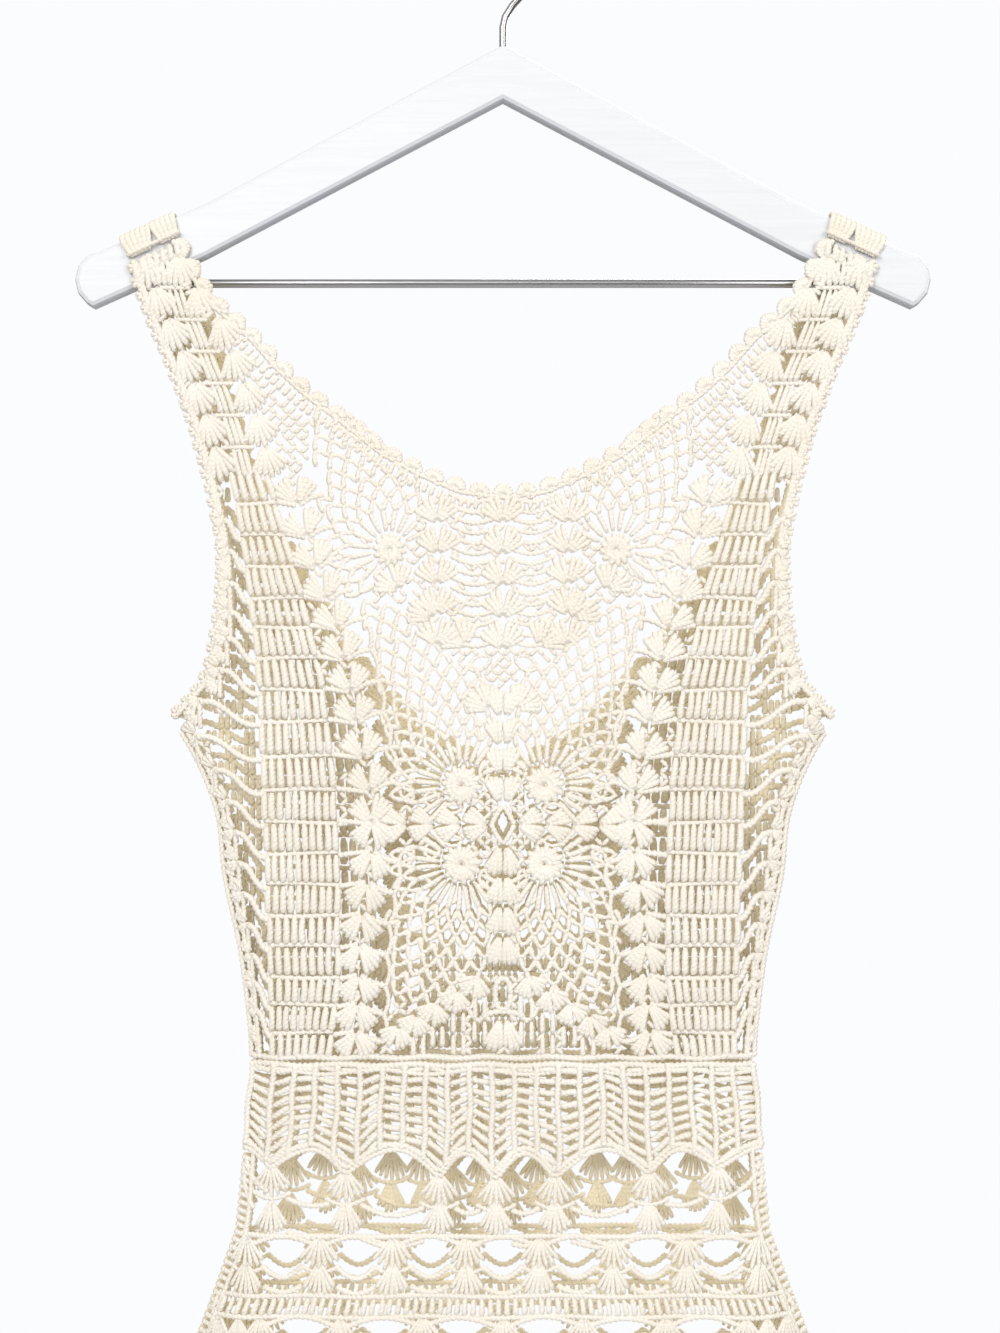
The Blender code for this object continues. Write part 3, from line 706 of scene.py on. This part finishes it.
def waistband(front):
    """Upright ribs with slanted bars between them, over an edge of points and arches."""
    lace = Lace(front, 21 if front else 22)
    flip = 1 if front else -1
    low = sorted((flip * x, t) for x, t in BAND_POINTS + BAND_ARCHES)
    low = [(-136.5, 487.0)] + low + [(136.5, 487.0)]
    xs = np.linspace(-131, 131, 24 if front else 23)
    fine = np.linspace(-1, 1, 90)

    def edge(x):
        """Lower edge, rounded at the arches and pointed between them."""
        for (x0, t0), (x1, t1) in zip(low, low[1:]):
            if x <= x1:
                f = (x - x0) / (x1 - x0)
                f = math.sin(f * math.pi / 2) if t1 < t0 else 1 - math.cos(f * math.pi / 2)
                return t0 + (t1 - t0) * f
        return low[-1][1]

    def drop(x, f):
        """t at a share of the way down the band."""
        return 441.5 + (edge(x * (1 + 0.03 * f)) - 443.5) * f + 0.8 * math.sin(x * 0.21)

    for k, x in enumerate(xs):
        line = [(x * (1 + 0.03 * f) + 0.5 * math.sin(9 * f + k), drop(x, f)) for f in np.linspace(0, 1, 9)]
        lace.chain(line, 1.5, 3.0, 0.4)
    rows = 9
    for k, (a, b) in enumerate(zip(xs, xs[1:])):
        slant = (-2.1, 2.1)[k % 2] * (0.6 + 0.4 * math.sin(k * 1.7))
        for r in range(rows):
            f = (r + 0.6) / rows
            p = (a * (1 + 0.03 * f) + 0.8, drop(a, f) + slant * (0.4 + f))
            q = (b * (1 + 0.03 * f) - 0.8, drop(b, f) - slant * (0.4 + f))
            lace.stitch(p, q, 1.45, 0.3, 0.3)
    for t, swing, wave, yarn in ((442.2, 0.6, 6, (1.5, 3.0)), (445.6, 1.3, 8.4, (1.0, 2.8, 0.4))):
        lace.chain([(x, t + swing * math.sin(x / wave)) for x in np.linspace(-131, 131, 60)], *yarn)
    for inward in (1.2, 3.9):
        lace.chain([(136 * f, edge(136 * f) - inward) for f in fine], 1.3, 2.8, 0.3, smooth=False)
    return lace


def fan_column(lace, x, t, wide, step=13.0):
    """Two fans one under the other, as they hang from a point: a parted one and a fuller one."""
    lace.shell((x, t), DOWN, 18.0, wide, 7, 1.05, 0.0, 0.9)
    lace.chain([(x + 10.5 * f, t + 18.5 - 3.4 * f * f) for f in (-1, -0.5, 0, 0.5, 1)], 1.0)
    lace.shell((x, t + step), DOWN, 18.5, wide - 9, 7, 1.15, 0.0, 0.5)


def skirt(front):
    """Rows of fans hung from points, with openings, chain arcs and bands of upright stitches between the rows."""
    ring = list(SKIRT_SIDE) + [(-x, t) for x, t in reversed(SKIRT_SIDE)]
    ring = [(-137, 485), (0, 485), (137, 485)] + ring[1:-1]
    lace = Lace(front, 31 if front else 32, ring_test(ring, 0.3))
    flip = 1 if front else -1
    points = sorted((flip * x, t) for x, t in BAND_POINTS)
    for x, t in points:
        fan_column(lace, x, t - 4.0, 40, 516 - t)
    for (x0, t0), (x1, t1) in zip(points, points[1:]):
        wide = x1 - x0 > 44
        for drop, reach, sag in ((14, 8, 5.0), (31, 8, 4.0)):
            lace.arc((x0 + reach, t0 + drop), (x1 - reach, t1 + drop), sag if wide else sag / 2, 1.25)
        if not front:
            # More fans behind the openings of the front layer.
            for share in ((0.34, 0.68) if wide else (0.5,)):
                fan_column(lace, x0 + (x1 - x0) * share, (t0 + t1) / 2 - 12.0, 34, 517 - (t0 + t1) / 2)
    for s in (1, -1):
        lace.arc((s * 122, 508), (s * 134, 492), s * 3, 1.25)
        lace.arc((s * 130, 517), (s * 135, 496), s * 2, 1.25)
    last = SKIRT_ROWS - 1
    for r in range(SKIRT_ROWS):
        t = FIRST_ROW_T + ROW_PITCH * r
        half = float(half_width(t))
        start, hung = t - 25.0, t - 14.5
        low, high = (float(half_width(y)) - 4 for y in (start, start + 10))
        posts = int(2 * low / 4.3)
        for i in range(posts + 1):
            f = 2 * i / posts - 1
            if r > 0:
                lace.stitch((f * low, start + 1), (f * high, start + 9.5), 1.45, 0.5, 0.3)
            if r == last:
                lace.stitch((f * high, start + 11.5), (f * (high + 3) + 1.2 * (-1) ** i, 835.0), 1.5, 0.5, 0.3)
        for y, reach in ((start, low), (start + 10.6, high))[r == 0:]:
            lace.chain([(x, y) for x in np.linspace(-reach, reach, 30)], 1.25, 2.8)
        if r == last:
            continue
        step, count = 2 * half / 7.7, 7 - r % 2
        for k in range(count + 1):
            x = (k - count / 2) * step
            if abs(x) < half - 6:
                fan_column(lace, x, hung, 40)
            else:
                fan_column(lace, math.copysign(half - 12, x), hung, 26)
        if r % 2:
            for s in (1, -1):
                inner = count / 2 * step
                for k in range(2):
                    x = inner + (half - 10 - inner) * (k + 1) / 2.4
                    fan_column(lace, s * x, hung, 30)
        for k in range(count):
            x = (k - (count - 1) / 2) * step
            for y, inward, sag, radius in ((t - 10, 3, -4.5, 1.3), (t + 1, 9, 6.0, 1.25), (t + 11, 9, 3.5, 1.25)):
                lace.arc((x - step / 2 + inward, y), (x + step / 2 - inward, y), sag, radius)
    for s in (1, -1):
        for inward in (0.5, 7.0):
            lace.chain([(s * (x - inward), min(t, 836.0)) for x, t in SKIRT_SIDE], 1.3)
        for t in np.arange(491, 834, 3.9):
            x = at_drop(SKIRT_SIDE, t)
            lace.stitch((s * (x - 7.4), t + 1.5), (s * (x - 1.2), t), 1.4, 0.2, 0.2)
    lace.chain([(x, 836.2) for x in np.linspace(-210, 210, 30)], 1.4)
    return lace


def hem(front):
    """A row of shells round the hem."""
    lace = Lace(front, 41 if front else 42)
    count, pitch = 15, 28.2
    for k in range(count):
        x = (k - (count - 1) / 2) * pitch
        lace.shell((x, 839.4), DOWN, 10.4, 72, 9, 1.35, 0.0, 0.5)
    lace.chain([(x, 839.6) for x in np.linspace(-211.5, 211.5, 40)], 1.25)
    return lace


def strap_join(s):
    """Yarn laid over the hanger's arm from the front layer to the back one."""
    lace = Lace(True, 51 if s > 0 else 52)
    reach = 7.75  # half the arm's thickness and 1.75 mm over it, as in the solid
    half = [(-reach, JOIN_HIGH), (-reach, 6.5), (-reach, 2.5), (-reach + 2.0, -1.6), (-2.6, -2.7)]
    profile = np.array(half + [(-y, drop) for y, drop in reversed(half)])
    lanes = 10

    def edges(down):
        """x of the join's inner and outer edge at a share of the way down a layer."""
        return 172.6 - 5.2 * down, 198.4 - 3.1 * down

    def level(x, drop):
        """z along the arm's slope, at a drop below it."""
        return -(T_TOP + STRAP_SLOPE * (x - 172) + drop)

    fine = np.linspace(0, len(profile) - 1, 25)
    y = np.interp(fine, np.arange(len(profile)), profile[:, 0])
    drop = np.interp(fine, np.arange(len(profile)), profile[:, 1])
    for lane in range(lanes + 1):
        f = np.maximum(drop, 0) / JOIN_HIGH
        inner, outer = edges(f)
        # The strands gather towards the middle of each half, as two shells do.
        middle = 0.25 if lane < lanes / 2 else 0.75
        share = lane / lanes + 0.42 * f ** 1.5 * (middle - lane / lanes)
        x = inner + (outer - inner) * share
        lace.add(np.column_stack((s * x, y, level(x, drop))), 1.0 - 0.3 * f ** 2, flat=False)
    for k in (1, 23):
        x = np.linspace(*edges(max(drop[k], 0) / JOIN_HIGH), 15)
        out = 0.9 * np.sign(y[k]) if abs(y[k]) > 5 else 0
        z = level(x, drop[k]) + (0.7 if abs(y[k]) < 5 else 0)
        radii = np.where(np.arange(15) % 2 == 1, 1.2, 0.8)
        lace.add(np.column_stack((s * x, np.full(15, y[k] + out), z)), radii, flat=False)
    return lace


def round_bar(name, path, radius, sides=24):
    """A smooth round bar or wire along a path in mm, with softened ends."""
    path = np.array(path, float)
    lace = Lace(True, 1)
    first, last = path[1] - path[0], path[-1] - path[-2]
    rings = np.concatenate((path[:1], path[:1] + first / np.linalg.norm(first) * 0.5, path[1:-1],
                            path[-1:] - last / np.linalg.norm(last) * 0.5, path[-1:]))
    radii = np.full(len(rings), float(radius))
    radii[[0, -1]] -= 0.5
    lace.add(rings, radii, flat=False)
    return lace.mesh(name, sides, 1.0)


def colour_property(label, description, code):
    """A colour in the panel, from its sRGB hex code."""
    return bpy.props.FloatVectorProperty(name=label, description=description, subtype="COLOR", default=linear(code))


class CrochetSizes(bpy.types.PropertyGroup):
    """Sizes of the stitches, in chart millimetres."""

    post_radius: bpy.props.FloatProperty(
        name="Post radius", description="Half the width of an upright stitch, in mm", default=1.75, min=0.8, max=2.5
    )
    post_pitch: bpy.props.FloatProperty(
        name="Post pitch", description="Distance between upright stitches, in mm", default=4.2, min=3.0, max=8.0
    )
    camera_distance: bpy.props.FloatProperty(
        name="Camera distance", description="From the lens to the dress", default=1.15, unit="LENGTH"
    )


class CrochetColours(bpy.types.PropertyGroup):
    """Colours of the yarn, the enamel and the steel."""

    yarn_light: colour_property("Yarn, light", "Cream cotton at its lightest", "#F3EEE5")
    yarn_shade: colour_property("Yarn, shade", "Cream cotton at its deepest", "#EEE7DA")
    # The inside tone is painted shade, for the warm shade between the two layers.
    yarn_inner: colour_property("Yarn, inside", "Warmer tone of the side that faces into the dress", "#EFE5CB")
    enamel: colour_property("Enamel", "Paint on the hanger", "#E3E6EA")
    steel: colour_property("Steel", "Trouser bar and hook", "#A9A9AB")


class CROCHET_OT_stage(bpy.types.Operator):
    """Camera, floor and soft light"""

    bl_idname = "crochet.stage"
    bl_label = "Stage"

    def execute(self, context):
        scene = context.scene
        scene.view_settings.view_transform = "Standard"
        data = bpy.data.cameras.new("camera")
        data.sensor_fit = "AUTO"
        data.sensor_width = 36.0
        distance = scene.crochet_sizes.camera_distance
        data.lens = data.sensor_width * (distance - FRONT_DEPTH) / (PHOTO_HIGH * MM_PER_PIXEL * MM)
        camera = put("camera", data)
        camera.location = (PHOTO_MIDDLE_X * MM, -distance, -(PHOTO_HIGH / 2 + ROWS_OVER_PHOTO) * MM_PER_PIXEL * MM)
        camera.rotation_euler = (math.radians(90), 0, 0)
        scene.camera = camera
        mesh = bpy.data.meshes.new("floor")
        around = np.linspace(0, 2 * math.pi, 65)[:-1]
        rim = [(FLOOR_RADIUS * math.cos(a), FLOOR_RADIUS * math.sin(a), FLOOR_Z) for a in around]
        mesh.from_pydata(rim, [], [list(range(64))])
        material, tree, shader = new_material("pale_plaster_floor")
        place = node(tree, "TexCoord")
        mottle = node(tree, "TexNoise", (("Vector", place.outputs["Object"]),), Scale=6.0, Detail=3.0)
        plaster = ((0.3, linear("#DADBDD")), (0.7, linear("#E2E3E5")))
        tone = node(tree, "ValToRGB", (("Fac", mottle.outputs["Fac"]),), stops=plaster)
        tree.links.new(tone.outputs["Color"], shader.inputs["Base Color"])
        shader.inputs["Roughness"].default_value = 0.8
        mesh.materials.append(material)
        floor = put("floor", mesh)
        world = bpy.data.worlds.new("studio")
        world.use_nodes = True
        sky = world.node_tree
        seen = sky.nodes["Background"]
        seen.inputs["Color"].default_value = (*linear("#FBFCFE"), 1)
        # The seamless white behind is bright to look at, and the room's light is softer and falls off below.
        heading = node(sky, "SeparateXYZ", (("Vector", node(sky, "TexCoord").outputs["Generated"]),))
        room = ((0.0, linear("#A8A39B")), (0.35, linear("#FFFDFA")))
        fall = node(sky, "ValToRGB", (("Fac", heading.outputs["Z"]),), stops=room)
        soft = node(sky, "Background", (("Color", fall.outputs["Color"]),), Strength=0.74)
        by_camera = node(sky, "LightPath").outputs["Is Camera Ray"]
        both = node(sky, "MixShader", (("Fac", by_camera), (1, soft.outputs[0]), (2, seen.outputs[0])))
        sky.links.new(both.outputs[0], sky.nodes["World Output"].inputs["Surface"])
        scene.world = world
        # name, place, size in m, power in W
        lamps = (("key", (-0.8, -2.0, 0.7), 1.3, 27.0), ("fill", (1.3, -1.7, 0.2), 1.2, 15.0),
                 ("back", (0.6, 2.0, 0.7), 1.3, 40.0))
        for name, place, size, power in lamps:
            light = bpy.data.lights.new(name, "AREA")
            light.shape = "DISK"
            light.size = size
            light.energy = power
            lamp = put(name, light)
            lamp.location = place
            lamp.rotation_mode = "QUATERNION"
            lamp.rotation_quaternion = (Vector((0, 0, -0.45)) - Vector(place)).to_track_quat("-Z", "Y")
        return {"FINISHED"}


class CROCHET_OT_hanger(bpy.types.Operator):
    """Enamel the arms, and make the smooth trouser bar and hook"""

    bl_idname = "crochet.hanger"
    bl_label = "Hanger"

    def execute(self, context):
        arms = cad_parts["hanger_arms"]
        for place in arms.material_slots:
            place.material = finish("white_enamel_on_beech")
        bar = round_bar("trouser_bar", [(x, 0, -194.3) for x in (-191, -60, 60, 191)], 2.25)
        piece("trouser_bar", bar, "brushed_steel_bar", ["hanger_bar"])
        radius = 22.9
        bend = [(radius * math.cos(a), 0, -21 + radius * math.sin(a)) for a in np.radians(np.arange(-36, 205, 6))]
        line = [(0, 0, -81.8), (0, 0, -70), (0, 0, -60), (1.2, 0, -54.5), (5.0, 0, -48.5), (10.5, 0, -42.5),
                (15.0, 0, -38.0)]
        hook = round_bar("wire_hook", line + bend, 1.9, 16)
        piece("wire_hook", hook, "plated_steel_wire", ["hanger_hook"])
        return {"FINISHED"}


class CROCHET_OT_straps(bpy.types.Operator):
    """Shoulder joins over the hanger's arms"""

    bl_idname = "crochet.straps"
    bl_label = "Straps"

    def execute(self, context):
        for s, hand in HANDS:
            name = f"strap_{hand}_yarn"
            mesh = strap_join(s).mesh(name, 8, 1.6)
            made = piece(name, mesh, "cotton_yarn_join", [f"strap_{hand}"])
        return {"FINISHED"}


class CROCHET_OT_bodice(bpy.types.Operator):
    """Front and back lace bodice with their edgings"""

    bl_idname = "crochet.bodice"
    bl_label = "Bodice"

    def execute(self, context):
        sizes = context.scene.crochet_sizes
        for side, front in LAYERS:
            neck = FRONT_NECK if front else BACK_NECK
            yarn = f"cotton_yarn_{side}"
            name = f"{side}_bodice_lace"
            body = piece(name, bodice(front, sizes).mesh(name), yarn, [f"{side}_bodice"])
            trim = edging(front, mirrored(neck), 7.0, 12.0, 61 if front else 62, 8, 1.3)
            name = f"{side}_neck_shells"
            trims = [piece(name, trim.mesh(name), yarn, [f"{side}_neck_edging"])]
            for s, hand in HANDS:
                line = [(s * x, t) for x, t in (reversed(ARMHOLE) if s > 0 else ARMHOLE)]
                trim = edging(front, line, 5.0, 7.5, 71 + s, 4, 1.15)
                name = f"{side}_armhole_shells_{hand}"
                nodes = [f"{side}_armhole_edging_{hand}"]
                trims.append(piece(name, trim.mesh(name), yarn, nodes))
        return {"FINISHED"}


class CROCHET_OT_waistband(bpy.types.Operator):
    """Slanted-bar waistband, front and back"""

    bl_idname = "crochet.waistband"
    bl_label = "Waistband"

    def execute(self, context):
        for side, front in LAYERS:
            name = f"waistband_{side}_bars"
            mesh = waistband(front).mesh(name)
            made = piece(name, mesh, f"cotton_yarn_{side}", [f"waistband_{side}"])
        return {"FINISHED"}


class CROCHET_OT_skirt(bpy.types.Operator):
    """Fan-lace skirt and its hem, front and back"""

    bl_idname = "crochet.skirt"
    bl_label = "Skirt"

    def execute(self, context):
        for side, front in LAYERS:
            yarn = f"cotton_yarn_{side}"
            name = f"hem_shells_{side}"
            trim = piece(name, hem(front).mesh(name), yarn, [f"hem_edging_{side}"])
            name = f"skirt_{side}_lace"
            made = piece(name, skirt(front).mesh(name), yarn, [f"skirt_{side}"])
        return {"FINISHED"}


class CROCHET_PT_panel(bpy.types.Panel):
    """Lists the pieces of the dress"""

    bl_label = "Crochet mini dress"
    bl_idname = "CROCHET_PT_panel"
    bl_space_type = "VIEW_3D"
    bl_region_type = "UI"
    bl_category = "Crochet"

    def draw(self, context):
        for group in (context.scene.crochet_sizes, context.scene.crochet_colours):
            for name in group.__annotations__:
                self.layout.prop(group, name)
        for operator in OPERATORS:
            self.layout.operator(operator.bl_idname)


OPERATORS = (CROCHET_OT_stage, CROCHET_OT_hanger, CROCHET_OT_straps, CROCHET_OT_bodice, CROCHET_OT_waistband,
             CROCHET_OT_skirt)
CLASSES = (CrochetSizes, CrochetColours, *OPERATORS, CROCHET_PT_panel)


def register():
    for cls in CLASSES:
        bpy.utils.register_class(cls)
    bpy.types.Scene.crochet_sizes = bpy.props.PointerProperty(type=CrochetSizes)
    bpy.types.Scene.crochet_colours = bpy.props.PointerProperty(type=CrochetColours)


def unregister():
    del bpy.types.Scene.crochet_sizes, bpy.types.Scene.crochet_colours
    for cls in reversed(CLASSES):
        bpy.utils.unregister_class(cls)


def main():
    register()
    bpy.ops.crochet.stage()
    bpy.ops.crochet.hanger()
    bpy.ops.crochet.straps()
    bpy.ops.crochet.bodice()
    bpy.ops.crochet.waistband()
    bpy.ops.crochet.skirt()


if __name__ == "__main__":
    main()
